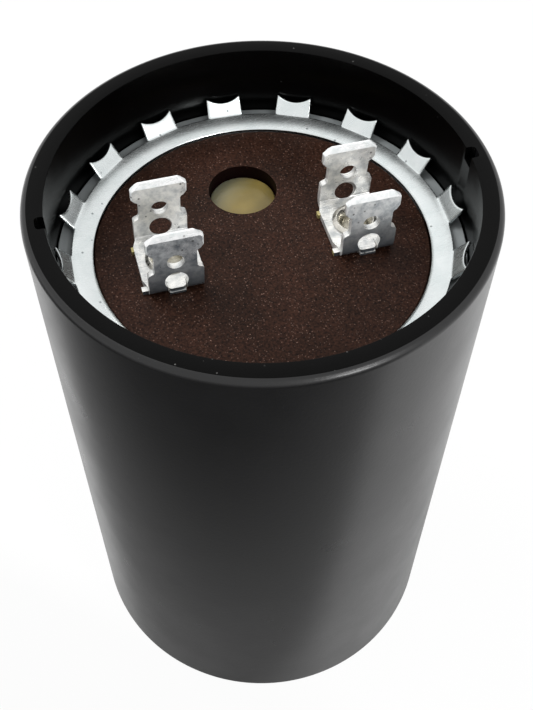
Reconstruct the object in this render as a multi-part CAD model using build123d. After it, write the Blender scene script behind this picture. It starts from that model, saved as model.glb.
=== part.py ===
from build123d import *
import math
import os

# Motor start capacitor, standing upright. Millimetres, +Z up.
# The origin is the middle of the case's base, X runs through the two terminals,
# and the vent opening lies on the +Y side.

# Case: a moulded phenolic cup
CASE_R = 26.2
CASE_H = 84.0
CASE_FLOOR = 3.2
CASE_BODY_BORE_R = 22.4
CASE_MOUTH_BORE_R = 23.68
CASE_BASE_EDGE = 2.5
CASE_RIM_EDGE = 0.4
NOTCH_WIDTH = 1.75
NOTCH_REACH = 1.02
NOTCH_DEPTH = 1.6
NOTCH_CORNER_R = 0.45
NOTCH_ANGLE = -2.0

# Header: a moulded disc with a raised middle on a flange
HEADER_TOP = 74.98
HEADER_THICKNESS = 3.4
HEADER_MIDDLE_R = 19.3
HEADER_FLANGE_R = 23.55
HEADER_STEP = 1.5
HEADER_BOTTOM = HEADER_TOP - HEADER_THICKNESS
FLANGE_TOP = HEADER_TOP - HEADER_STEP

# Vent opening and the rubber plug below it
VENT_Y = 9.15
VENT_R = 4.1
VENT_RECESS_R = 6.0
VENT_RECESS_DEPTH = 0.7
PLUG_BOSS_R = 4.0
PLUG_BOSS_H = 1.0
PLUG_FLANGE_R = 5.9

# Rubber gasket on the flange, as thick as the flange's step
GASKET_R = 23.55
GASKET_BORE_R = 20.1

# Retaining ring: dished spring steel, its fingers bent up and forked by a round cut.
# The tips' two horns reach the wall of the mouth and bite on it, and the band
# presses on the gasket's inner edge.
RING_SHEET = 0.4
RING_BORE_R = 19.4
RING_ROOT_R = 21.85
RING_RISE = 0.52
RING_SLOPE = RING_RISE / (RING_ROOT_R - RING_BORE_R)
RING_BORE_Z = HEADER_TOP + RING_SHEET - RING_SLOPE * (GASKET_BORE_R - RING_BORE_R)
RING_ROOT_Z = RING_BORE_Z + RING_RISE
FINGER_COUNT = 16
FINGER_PHASE = 19.8
FINGER_ROOT_WIDTH = 4.4
FINGER_TIP_WIDTH = 4.2
FINGER_LENGTH = 2.36
FINGER_ANGLE = 50.7
FINGER_TUCK = 0.14
FORK_R = 3.4
FORK_DEPTH = 0.7

# Terminals: folded sheet, two tabs each, which lean inward and a little to +X
TERMINAL_X = 11.1
TERMINAL_SHEET = 0.8
TERMINAL_SPAN = 9.5
TERMINAL_BEND_R = 0.3
TAB_HEIGHT = 8.95
TAB_LEAN_IN = 1.6
TAB_LEAN_SIDE = 1.8
TAB_HEAD_WIDTH = 6.3
TAB_CORNER = 0.9
TAB_HEAD_BOTTOM = 6.62
TAB_NECK_TOP = 6.15
TAB_NECK_WIDTH = 4.75
TAB_SHOULDER_IN = 3.75
TAB_SHOULDER_OUT = 3.4
TAB_BODY_WIDTH = 6.2
TAB_CORNER_CUT = 0.15
TAB_LEAD_IN = 0.28
TAB_LEAD_IN_H = 0.7
TAB_FOOT = 0.5
DETENT_R = 0.98
DETENT_UP = 4.95
SLOT_R = 1.32
SLOT_UP = 2.0
SLOT_BACK = 1.45
SLOT_CUT_PAST = 0.1
SLOT_SLANT = 47.0
BASE_WIDTH = 7.0
BASE_STRAIGHT = 5.2
TONGUE_WIDTH = 2.1
TONGUE_SHIFT = 0.1
TONGUE_BACK = 2.9
TONGUE_INSET = 0.12
TONGUE_CORNER_R = 0.5
TONGUE_LIP = 0.28
TONGUE_SIDE_GAP = 0.06
NIB_REACH = 0.28
NIB_ROOT = 0.5
NIB_WIDTH = 0.7
NIB_H = 0.55
NIB_AT = (2.45, -3.7)

# Semi-tubular rivets: a flat head under the lead strip, and a hollow end that is
# rolled over the bracket; the rolled end's heights are over the bracket.
RIVET_SHANK_R = 1.9
RIVET_BASE_R = 2.75
RIVET_BASE_H = 0.7
RIVET_ROLL_R = 2.6
RIVET_CREST_R = 2.13
RIVET_CREST_H = 0.55
RIVET_BORE_R = 1.4
RIVET_BORE_H = -0.3
RIVET_HOLE_DEPTH = 1.5
RIVET_HOLE_PLAY = 0.05

# Washers and lead strips under the header
WASHER_R = 3.3
WASHER_THICKNESS = 0.6
LEAD_THICKNESS = 0.3
LEAD_WIDTH = 6.0
LEAD_BEND_R = 0.8
LEAD_TUCK = 5.0
LEAD_FOLD_GAP = 1.2

# Winding and what holds it
PRESSBOARD = 1.0
PRESSBOARD_R = 22.2
WINDING_R = 21.4
WINDING_H = 58.4
WRAP_THICKNESS = 0.7
WRAP_OVERHANG = 1.0
LEAD_SLOT_PLAY = 0.15
WINDING_BOTTOM = CASE_FLOOR + PRESSBOARD
WINDING_TOP = WINDING_BOTTOM + WINDING_H
LEAD_RISE_X = 14.5
LEAD_FOLD_X = 6.6

# How close two numbers are taken as the same place
NEAR = 0.01


def ring_profile_solid(points):
    """Turn a closed half section, given as (radius, height) points, about Z."""
    outline = Polyline([(r, 0, z) for r, z in points], close=True)
    return revolve(make_face(outline), Axis.Z)


def case():
    """Cup with a rounded base edge, a counterbored mouth and two key notches."""
    slack = CASE_BASE_EDGE * (1 - math.sqrt(0.5))
    cup = ring_profile_solid([
        (0, 0),
        (CASE_R - CASE_BASE_EDGE, 0),
        (CASE_R - slack, slack),
        (CASE_R, CASE_BASE_EDGE),
        (CASE_R, CASE_H - CASE_RIM_EDGE),
        (CASE_R - CASE_RIM_EDGE, CASE_H),
        (CASE_MOUTH_BORE_R, CASE_H),
        (CASE_MOUTH_BORE_R, HEADER_BOTTOM),
        (CASE_BODY_BORE_R, HEADER_BOTTOM),
        (CASE_BODY_BORE_R, CASE_FLOOR),
        (0, CASE_FLOOR),
    ])
    reach = CASE_MOUTH_BORE_R + NOTCH_REACH
    notch = Pos(0, 0, CASE_H - NOTCH_DEPTH / 2) * Box(2 * reach, NOTCH_WIDTH, NOTCH_DEPTH)
    notch = fillet(notch.edges().filter_by(Axis.Z), NOTCH_CORNER_R)
    return cup - Rot(0, 0, NOTCH_ANGLE) * notch


def header():
    """Disc with a raised middle, a flange, a vent opening and two rivet holes."""
    disc = ring_profile_solid([
        (0, HEADER_BOTTOM),
        (HEADER_FLANGE_R, HEADER_BOTTOM),
        (HEADER_FLANGE_R, FLANGE_TOP),
        (HEADER_MIDDLE_R, FLANGE_TOP),
        (HEADER_MIDDLE_R, HEADER_TOP),
        (0, HEADER_TOP),
    ])
    vent = Pos(0, VENT_Y, HEADER_BOTTOM) * Cylinder(
        VENT_R, HEADER_THICKNESS, align=(Align.CENTER, Align.CENTER, Align.MIN))
    recess = Pos(0, VENT_Y, HEADER_BOTTOM) * Cylinder(
        VENT_RECESS_R, VENT_RECESS_DEPTH, align=(Align.CENTER, Align.CENTER, Align.MIN))
    disc -= vent + recess
    for x in (-TERMINAL_X, TERMINAL_X):
        disc -= Pos(x, 0, HEADER_BOTTOM) * Cylinder(
            RIVET_SHANK_R + RIVET_HOLE_PLAY, HEADER_THICKNESS,
            align=(Align.CENTER, Align.CENTER, Align.MIN))
    return disc


def vent_diaphragm():
    """Rubber plug: a flange in the header's recess and a boss in the opening."""
    shoulder = VENT_RECESS_DEPTH
    top = VENT_RECESS_DEPTH + PLUG_BOSS_H
    plug = ring_profile_solid([
        (0, 0),
        (PLUG_FLANGE_R, 0),
        (PLUG_FLANGE_R, shoulder),
        (PLUG_BOSS_R, shoulder),
        (PLUG_BOSS_R, top),
        (0, top),
    ])
    return Pos(0, VENT_Y, HEADER_BOTTOM) * plug


def gasket():
    """Flat rubber ring, level with the header's raised middle."""
    return ring_profile_solid([
        (GASKET_BORE_R, FLANGE_TOP),
        (GASKET_R, FLANGE_TOP),
        (GASKET_R, HEADER_TOP),
        (GASKET_BORE_R, HEADER_TOP),
    ])


def finger():
    """One finger on the +X side: a bent-up blade, its tip forked by a round cut."""
    half_root = FINGER_ROOT_WIDTH / 2
    half_tip = FINGER_TIP_WIDTH / 2
    blade = Polygon(
        (-FINGER_TUCK, -half_root),
        (0, -half_root),
        (FINGER_LENGTH, -half_tip),
        (FINGER_LENGTH, half_tip),
        (0, half_root),
        (-FINGER_TUCK, half_root),
        align=None,
    )
    blade -= Pos(FINGER_LENGTH - FORK_DEPTH + FORK_R, 0) * Circle(FORK_R)
    fold = math.sqrt(RING_ROOT_R ** 2 - half_root ** 2)
    return Pos(fold, 0, RING_ROOT_Z) * Rot(0, -FINGER_ANGLE, 0) * extrude(blade, -RING_SHEET)


def retaining_ring():
    """Dished band with a row of bent-up, forked fingers round its outer edge."""
    ring = ring_profile_solid([
        (RING_BORE_R, RING_BORE_Z),
        (RING_ROOT_R, RING_ROOT_Z),
        (RING_ROOT_R, RING_ROOT_Z - RING_SHEET),
        (RING_BORE_R, RING_BORE_Z - RING_SHEET),
    ])
    for i in range(FINGER_COUNT):
        ring += Rot(0, 0, FINGER_PHASE + i * 360 / FINGER_COUNT) * finger()
    return ring


def side_lean(z):
    """How far a tab has moved to +X at a height over the bracket's underside."""
    return z * math.tan(math.radians(TAB_LEAN_SIDE))


def tab_outline():
    """Tab seen from the front: wide head, narrow neck and shouldered body."""
    head = TAB_HEAD_WIDTH / 2
    neck = TAB_NECK_WIDTH / 2
    body = TAB_BODY_WIDTH / 2
    right = [
        (body, -TAB_FOOT),
        (body, TAB_SHOULDER_OUT),
        (neck, TAB_SHOULDER_IN),
        (neck, TAB_NECK_TOP),
        (head, TAB_HEAD_BOTTOM),
        (head, TAB_HEIGHT - TAB_CORNER),
        (head - TAB_CORNER, TAB_HEIGHT),
    ]
    left = [(-x, z) for x, z in reversed(right)]
    face = Polygon(*[(x + side_lean(z), z) for x, z in right + left], align=None)
    blunted = [
        v for v in face.vertices()
        if TAB_SHOULDER_OUT - NEAR < v.Y < TAB_HEAD_BOTTOM + NEAR
    ]
    return chamfer(blunted, TAB_CORNER_CUT)


def folded_strip():
    """The bracket's U section: a flat base and two leaning tabs with bevelled tops."""
    half = TERMINAL_SPAN / 2
    inner = half - TERMINAL_SHEET
    lean = math.tan(math.radians(TAB_LEAN_IN))
    bevel_z = TAB_HEIGHT - TAB_LEAD_IN_H

    def tab_point(depth, z):
        """A point of the back tab's section, at a depth behind its outer face."""
        return half - depth - z * lean, z

    back = [
        (half, 0),
        tab_point(0, bevel_z),
        tab_point(TAB_LEAD_IN, TAB_HEIGHT),
        tab_point(TERMINAL_SHEET - TAB_LEAD_IN, TAB_HEIGHT),
        tab_point(TERMINAL_SHEET, bevel_z),
        (inner, TERMINAL_SHEET),
    ]
    front = [(-y, z) for y, z in reversed(back)]
    face = Polygon(*back, *front, align=None)
    outer = [v for v in face.vertices() if v.Y < NEAR]
    face = fillet(outer, TERMINAL_BEND_R + TERMINAL_SHEET)
    inside = [v for v in face.vertices() if abs(v.Y - TERMINAL_SHEET) < NEAR]
    face = fillet(inside, TERMINAL_BEND_R)
    return extrude(Plane.YZ * face, BASE_WIDTH, both=True)


def base_plate():
    """Flat of the bracket, wider than its tabs, with the two cut-off nibs."""
    half_x = BASE_WIDTH / 2
    half_y = TERMINAL_SPAN / 2 - TERMINAL_SHEET - TERMINAL_BEND_R
    tab = TAB_BODY_WIDTH / 2
    straight = BASE_STRAIGHT / 2
    right = [(tab, -half_y), (half_x, -straight), (half_x, straight), (tab, half_y)]
    plan = Polygon(*right, *[(-x, y) for x, y in reversed(right)], align=None)
    plate = extrude(plan, TERMINAL_SHEET)
    for y in NIB_AT:
        nib = Pos(-half_x - NIB_REACH, y, 0) * Box(
            NIB_REACH + NIB_ROOT, NIB_WIDTH, NIB_H, align=(Align.MIN, Align.CENTER, Align.MIN))
        plate += nib
    return plate


def tab_hole(radius, up, side):
    """Plain round hole through one tab."""
    bore = Rot(90, 0, 0) * Cylinder(radius, 3 * TERMINAL_SHEET)
    return Pos(side_lean(up), side * TERMINAL_SPAN / 2, up) * bore


def back_slot():
    """Hole of the back tab: round on its inner face, and slanting down and out."""
    inner_face = TERMINAL_SPAN / 2 - TERMINAL_SHEET - SLOT_UP * math.tan(math.radians(TAB_LEAN_IN))
    start = inner_face - SLOT_CUT_PAST
    slant = math.radians(SLOT_SLANT)
    up = SLOT_UP + SLOT_CUT_PAST * math.tan(slant)
    outline = Plane.XZ * Pos(side_lean(SLOT_UP), up) * Circle(SLOT_R)
    hole = extrude(outline, amount=3 * TERMINAL_SHEET, dir=(0, math.cos(slant), -math.sin(slant)))
    return Pos(0, start, 0) * hole


def front_slot():
    """Hole of the front tab, open down to the bend on both sides of the tongue."""
    outer = -TERMINAL_SPAN / 2 - SLOT_CUT_PAST
    size = (TONGUE_WIDTH + 2 * TONGUE_SIDE_GAP, SLOT_BACK + SLOT_CUT_PAST, SLOT_UP + SLOT_CUT_PAST)
    opening = Box(*size, align=(Align.CENTER, Align.MIN, Align.MIN))
    return tab_hole(SLOT_R, SLOT_UP, -1) + Pos(TONGUE_SHIFT, outer, -SLOT_CUT_PAST) * opening


def tongue():
    """Tongue left in the front tab's slot, with a thin sheared lip at its foot."""
    corner = (Align.CENTER, Align.MIN, Align.MIN)
    blade = Box(TONGUE_WIDTH, TONGUE_BACK, TERMINAL_SHEET, align=corner)
    tip = [e for e in blade.edges().filter_by(Axis.Z) if e.center().Y < NEAR]
    blade = Pos(0, TONGUE_INSET, 0) * fillet(tip, TONGUE_CORNER_R)
    lip = Box(TONGUE_WIDTH - TONGUE_LIP, TONGUE_BACK, TONGUE_LIP, align=corner)
    return Pos(TONGUE_SHIFT, -TERMINAL_SPAN / 2, 0) * (blade + lip)


def terminal(x):
    """Folded bracket with two holed tabs; the front tab's slot shows a tongue."""
    strip = folded_strip() & extrude(Plane.XZ * tab_outline(), TERMINAL_SPAN, both=True)
    bracket = strip + base_plate()
    for side in (-1, 1):
        bracket -= tab_hole(DETENT_R, DETENT_UP, side)
    bracket -= back_slot()
    bracket -= front_slot()
    bracket += tongue()
    hole = Cylinder(RIVET_SHANK_R + RIVET_HOLE_PLAY, 4 * TERMINAL_SHEET)
    return Pos(x, 0, HEADER_TOP) * (bracket - hole)


def rivet(x):
    """Semi-tubular rivet: flat head below, hollow end rolled over the bracket."""
    plate_z = HEADER_TOP + TERMINAL_SHEET
    base_z = HEADER_BOTTOM - WASHER_THICKNESS - LEAD_THICKNESS
    body = ring_profile_solid([
        (0, base_z - RIVET_BASE_H),
        (RIVET_BASE_R, base_z - RIVET_BASE_H),
        (RIVET_BASE_R, base_z),
        (RIVET_SHANK_R, base_z),
        (RIVET_SHANK_R, plate_z),
        (RIVET_ROLL_R, plate_z),
        (RIVET_CREST_R, plate_z + RIVET_CREST_H),
        (RIVET_BORE_R, plate_z + RIVET_BORE_H),
        (RIVET_BORE_R, plate_z - RIVET_HOLE_DEPTH),
        (0, plate_z - RIVET_HOLE_DEPTH),
    ])
    return Pos(x, 0, 0) * body


def rivet_washer(x):
    """Plain washer between the header and the lead strip."""
    washer = Cylinder(WASHER_R, WASHER_THICKNESS) - Cylinder(
        RIVET_SHANK_R + RIVET_HOLE_PLAY, WASHER_THICKNESS)
    return Pos(x, 0, HEADER_BOTTOM - WASHER_THICKNESS / 2) * washer


def lead(side):
    """Aluminium strip: up out of the winding, folded back once, then under the rivet."""
    top_z = HEADER_BOTTOM - WASHER_THICKNESS - LEAD_THICKNESS / 2
    fold_z = WINDING_TOP + PRESSBOARD + LEAD_BEND_R + LEAD_THICKNESS + LEAD_FOLD_GAP
    eye_x = TERMINAL_X + WASHER_R
    route = FilletPolyline(
        (LEAD_RISE_X, 0, WINDING_TOP - LEAD_TUCK),
        (LEAD_RISE_X, 0, fold_z),
        (LEAD_FOLD_X, 0, fold_z),
        (LEAD_FOLD_X, 0, top_z),
        (eye_x, 0, top_z),
        radius=LEAD_BEND_R,
    )
    across = Vector(1, 0, 0) * (LEAD_THICKNESS / 2)
    start = Vector(LEAD_RISE_X, 0, WINDING_TOP - LEAD_TUCK)
    blank = Polyline(
        start - across + Vector(0, -LEAD_WIDTH / 2, 0),
        start + across + Vector(0, -LEAD_WIDTH / 2, 0),
        start + across + Vector(0, LEAD_WIDTH / 2, 0),
        start - across + Vector(0, LEAD_WIDTH / 2, 0),
        close=True,
    )
    strip = sweep(make_face(blank), path=route)
    strip -= Pos(TERMINAL_X, 0, top_z) * Cylinder(
        RIVET_SHANK_R + RIVET_HOLE_PLAY, 2 * LEAD_THICKNESS)
    return strip if side > 0 else Rot(0, 0, 180) * strip


def lead_slot(side, z, height):
    """Cutter for the narrow slit that a lead strip passes through."""
    return Pos(side * LEAD_RISE_X, 0, z + height / 2) * Box(
        LEAD_THICKNESS + 2 * LEAD_SLOT_PLAY, LEAD_WIDTH + 2 * LEAD_SLOT_PLAY, height)


def winding():
    """Roll of foil and paper, slit where the leads are tucked in."""
    roll = Pos(0, 0, WINDING_BOTTOM + WINDING_H / 2) * Cylinder(WINDING_R, WINDING_H)
    for side in (-1, 1):
        roll -= lead_slot(side, WINDING_TOP - LEAD_TUCK, LEAD_TUCK)
    return roll


def winding_wrap():
    """Paper sleeve round the roll, a little shorter than it."""
    low = WINDING_BOTTOM
    outer = WINDING_R + WRAP_THICKNESS
    return ring_profile_solid([
        (WINDING_R, low),
        (outer, low),
        (outer, WINDING_TOP - WRAP_OVERHANG),
        (WINDING_R, WINDING_TOP - WRAP_OVERHANG),
    ])


def insulator(z):
    """Round pressboard disc."""
    return Pos(0, 0, z + PRESSBOARD / 2) * Cylinder(PRESSBOARD_R, PRESSBOARD)


def top_insulator():
    """Upper pressboard disc with a slit for each lead."""
    disc = insulator(WINDING_TOP)
    for side in (-1, 1):
        disc -= lead_slot(side, WINDING_TOP, PRESSBOARD)
    return disc


def all_parts():
    """Every piece by the name of its file."""
    return {
        "case": case(),
        "header": header(),
        "vent_diaphragm": vent_diaphragm(),
        "gasket": gasket(),
        "retaining_ring": retaining_ring(),
        "terminal_left": terminal(-TERMINAL_X),
        "terminal_right": terminal(TERMINAL_X),
        "rivet_left": rivet(-TERMINAL_X),
        "rivet_right": rivet(TERMINAL_X),
        "rivet_washer_left": rivet_washer(-TERMINAL_X),
        "rivet_washer_right": rivet_washer(TERMINAL_X),
        "lead_left": lead(-1),
        "lead_right": lead(1),
        "winding": winding(),
        "winding_wrap": winding_wrap(),
        "bottom_insulator": insulator(CASE_FLOOR),
        "top_insulator": top_insulator(),
    }


os.makedirs("parts", exist_ok=True)
for name, shape in all_parts().items():
    export_step(shape, f"parts/{name}.step")
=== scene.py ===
import logging
import math
from dataclasses import dataclass
from enum import Enum, IntEnum
from typing import Any, Iterable

import bmesh
import bpy
from mathutils import Matrix, Vector


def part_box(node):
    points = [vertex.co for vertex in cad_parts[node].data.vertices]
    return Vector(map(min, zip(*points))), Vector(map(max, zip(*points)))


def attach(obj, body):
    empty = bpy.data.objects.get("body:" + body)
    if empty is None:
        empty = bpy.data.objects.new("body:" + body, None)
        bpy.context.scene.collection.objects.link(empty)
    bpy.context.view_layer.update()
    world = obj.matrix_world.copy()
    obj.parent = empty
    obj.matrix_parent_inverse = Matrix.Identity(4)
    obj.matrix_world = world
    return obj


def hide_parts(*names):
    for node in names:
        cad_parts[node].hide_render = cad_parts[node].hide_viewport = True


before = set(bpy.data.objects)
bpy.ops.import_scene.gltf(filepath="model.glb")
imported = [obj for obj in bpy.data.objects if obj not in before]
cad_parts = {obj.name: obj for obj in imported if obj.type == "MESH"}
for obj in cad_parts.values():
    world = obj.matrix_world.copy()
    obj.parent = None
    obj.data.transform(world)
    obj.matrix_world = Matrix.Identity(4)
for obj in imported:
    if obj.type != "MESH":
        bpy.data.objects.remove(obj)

# Motor start capacitor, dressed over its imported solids. Sizes are in millimetres
# unless a name says otherwise, and MM turns them into the frame's metres.
LOG = logging.getLogger("capacitor")
MM = 0.001
FULL_TURN = 2 * math.pi
X_AXIS = 0
Z_AXIS = 2

# Points closer than this are one point, and lengths and shares this close are equal.
HAIR = 0.001

# Edges that turn more than this stay sharp on moulded and turned pieces.
SHARP_DEG = 32.0

# Faces that turn less than this from each other are one flat face.
FLAT_DEG = 0.2

# Most of a noise texture's values lie between these two.
NOISE_LOW = 0.3
NOISE_HIGH = 0.7


class Side(Enum):
    """Which of the two terminals a piece belongs to."""

    LEFT = -1
    RIGHT = 1

    @property
    def word(self) -> str:
        """The side as it stands in a node's name."""
        return self.name.lower()


def end_of(node: str, axis: int, high: bool = True) -> float:
    """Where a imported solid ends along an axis.

    Args:
        node: The solid's name.
        axis: The axis, X_AXIS or Z_AXIS.
        high: Whether the high end is asked for.

    Returns:
        The place in millimetres.
    """
    return round(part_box(node)[1 if high else 0][axis] / MM, 4)


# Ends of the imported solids, then sizes and places that several pieces share.
CASE_RADIUS = end_of("case", X_AXIS)
CASE_HEIGHT = end_of("case", Z_AXIS)
HEADER_BOTTOM = end_of("header", Z_AXIS, high=False)
HEADER_TOP = end_of("header", Z_AXIS)
HEADER_RADIUS = end_of("header", X_AXIS)
GASKET_BOTTOM = end_of("gasket", Z_AXIS, high=False)
RIVET_BOTTOM = end_of("rivet_left", Z_AXIS, high=False)
GASKET_BORE = 20.1
TERMINAL_X = 11.1
TERMINAL_SHEET = 0.8
VENT_Y = 9.15


def linear(colour: str) -> tuple[float, float, float, float]:
    """Turn an sRGB hex colour into linear RGBA.

    Args:
        colour: Six hex digits, such as "8c8f90".

    Returns:
        Red, green, blue and an alpha of one, all linear.
    """
    channels = [int(colour[i:i + 2], 16) / 255 for i in (0, 2, 4)]
    red, green, blue = (c / 12.92 if c <= 0.04045 else ((c + 0.055) / 1.055) ** 2.4 for c in channels)
    return red, green, blue, 1.0


def add_node(
    tree: bpy.types.NodeTree, kind: str, settings: dict[Any, Any], links: dict[Any, Any] | None = None
) -> bpy.types.Node:
    """Add a node, fill in its sockets and properties, and link its inputs.

    Args:
        tree: The node tree that takes the node.
        kind: The node's type name.
        settings: Values by socket name or number, or by property name.
        links: Output sockets by the name or number of the input they feed.

    Returns:
        The new node.
    """
    node = tree.nodes.new(kind)
    for key, value in settings.items():
        if isinstance(key, str) and hasattr(node, key):
            setattr(node, key, value)
    for key, value in settings.items():
        if not (isinstance(key, str) and hasattr(node, key)):
            node.inputs[key].default_value = value
    for key, output in (links or {}).items():
        tree.links.new(output, node.inputs[key])
    return node


def set_stops(ramp: bpy.types.Node, stops: Iterable[tuple[float, str]]) -> None:
    """Give a colour ramp its stops.

    Args:
        ramp: The colour ramp node.
        stops: Position and hex colour of each stop, from low to high.
    """
    elements = ramp.color_ramp.elements
    wanted = list(stops)
    while len(elements) < len(wanted):
        elements.new(0.5)
    for element, (position, colour) in zip(elements, wanted):
        element.position = position
        element.color = linear(colour)


def blank_material(
    name: str,
) -> tuple[bpy.types.Material, bpy.types.NodeTree, bpy.types.Node, bpy.types.NodeSocket]:
    """Start a material with its shader and Object coordinates.

    Args:
        name: The material's name.

    Returns:
        The material, its tree, its principled shader and the socket of its Object coordinates.
    """
    material = bpy.data.materials.new(name)
    material.use_nodes = True
    tree = material.node_tree
    coords = add_node(tree, "ShaderNodeTexCoord", {})
    return material, tree, tree.nodes["Principled BSDF"], coords.outputs["Object"]


@dataclass(frozen=True)
class MouldedPhenolic:
    """Compression-moulded phenolic: dense, dark and a little cloudy, with fine pale filler flecks."""

    name: str
    dark: str
    light: str
    fleck: str
    roughness: float
    roughness_spread: float = 0.08
    specular: float = 0.5
    cloud_mm: float = 9.0
    grain_mm: float = 0.45
    grain_bump_mm: float = 0.01
    grain_shade: float = 0.06
    fleck_mm: float = 0.5
    fleck_share: float = 0.2
    fleck_size: float = 0.22

    def material(self) -> bpy.types.Material:
        """Build the material.

        Returns:
            Cloudy base colour, sparse flecks, and a fine moulded grain in the bump.
        """
        material, tree, shader, place = blank_material(self.name)
        cloud = add_node(tree, "ShaderNodeTexNoise", {
            "Scale": 1 / (self.cloud_mm * MM), "Detail": 4.0, "Roughness": 0.6}, {"Vector": place})
        base = add_node(tree, "ShaderNodeValToRGB", {}, {"Fac": cloud.outputs["Fac"]})
        set_stops(base, ((NOISE_LOW, self.dark), (NOISE_HIGH, self.light)))
        cells = add_node(tree, "ShaderNodeTexVoronoi", {"Scale": 1 / (self.fleck_mm * MM)},
                         {"Vector": place})
        near = add_node(tree, "ShaderNodeMath", {"operation": "LESS_THAN", 1: self.fleck_size},
                        {0: cells.outputs["Distance"]})
        chosen = add_node(tree, "ShaderNodeSeparateColor", {}, {"Color": cells.outputs["Color"]})
        picked = add_node(tree, "ShaderNodeMath", {"operation": "LESS_THAN", 1: self.fleck_share},
                          {0: chosen.outputs["Red"]})
        flecks = add_node(tree, "ShaderNodeMath", {"operation": "MULTIPLY"},
                          {0: near.outputs[0], 1: picked.outputs[0]})
        strength = add_node(tree, "ShaderNodeMath", {"operation": "MULTIPLY"},
                            {0: flecks.outputs[0], 1: chosen.outputs["Green"]})
        colour = add_node(tree, "ShaderNodeMix", {"data_type": "RGBA", 7: linear(self.fleck)},
                          {0: strength.outputs[0], 6: base.outputs["Color"]})
        grain = add_node(tree, "ShaderNodeTexNoise", {
            "Scale": 1 / (self.grain_mm * MM), "Detail": 3.0, "Roughness": 0.55}, {"Vector": place})
        depth = add_node(tree, "ShaderNodeMapRange", {
            "From Min": NOISE_LOW, "From Max": NOISE_HIGH,
            "To Min": 1 - self.grain_shade, "To Max": 1 + self.grain_shade}, {"Value": grain.outputs["Fac"]})
        grained = add_node(tree, "ShaderNodeHueSaturation", {}, {
            "Value": depth.outputs["Result"], "Color": colour.outputs[2]})
        tree.links.new(grained.outputs["Color"], shader.inputs["Base Color"])
        gloss = add_node(tree, "ShaderNodeMapRange", {
            "To Min": self.roughness - self.roughness_spread,
            "To Max": self.roughness + self.roughness_spread}, {"Value": cloud.outputs["Fac"]})
        tree.links.new(gloss.outputs["Result"], shader.inputs["Roughness"])
        bump = add_node(tree, "ShaderNodeBump", {"Strength": 1.0, "Distance": self.grain_bump_mm * MM},
                        {"Height": grain.outputs["Fac"]})
        tree.links.new(bump.outputs["Normal"], shader.inputs["Normal"])
        shader.inputs["Specular IOR Level"].default_value = self.specular
        return material


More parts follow.
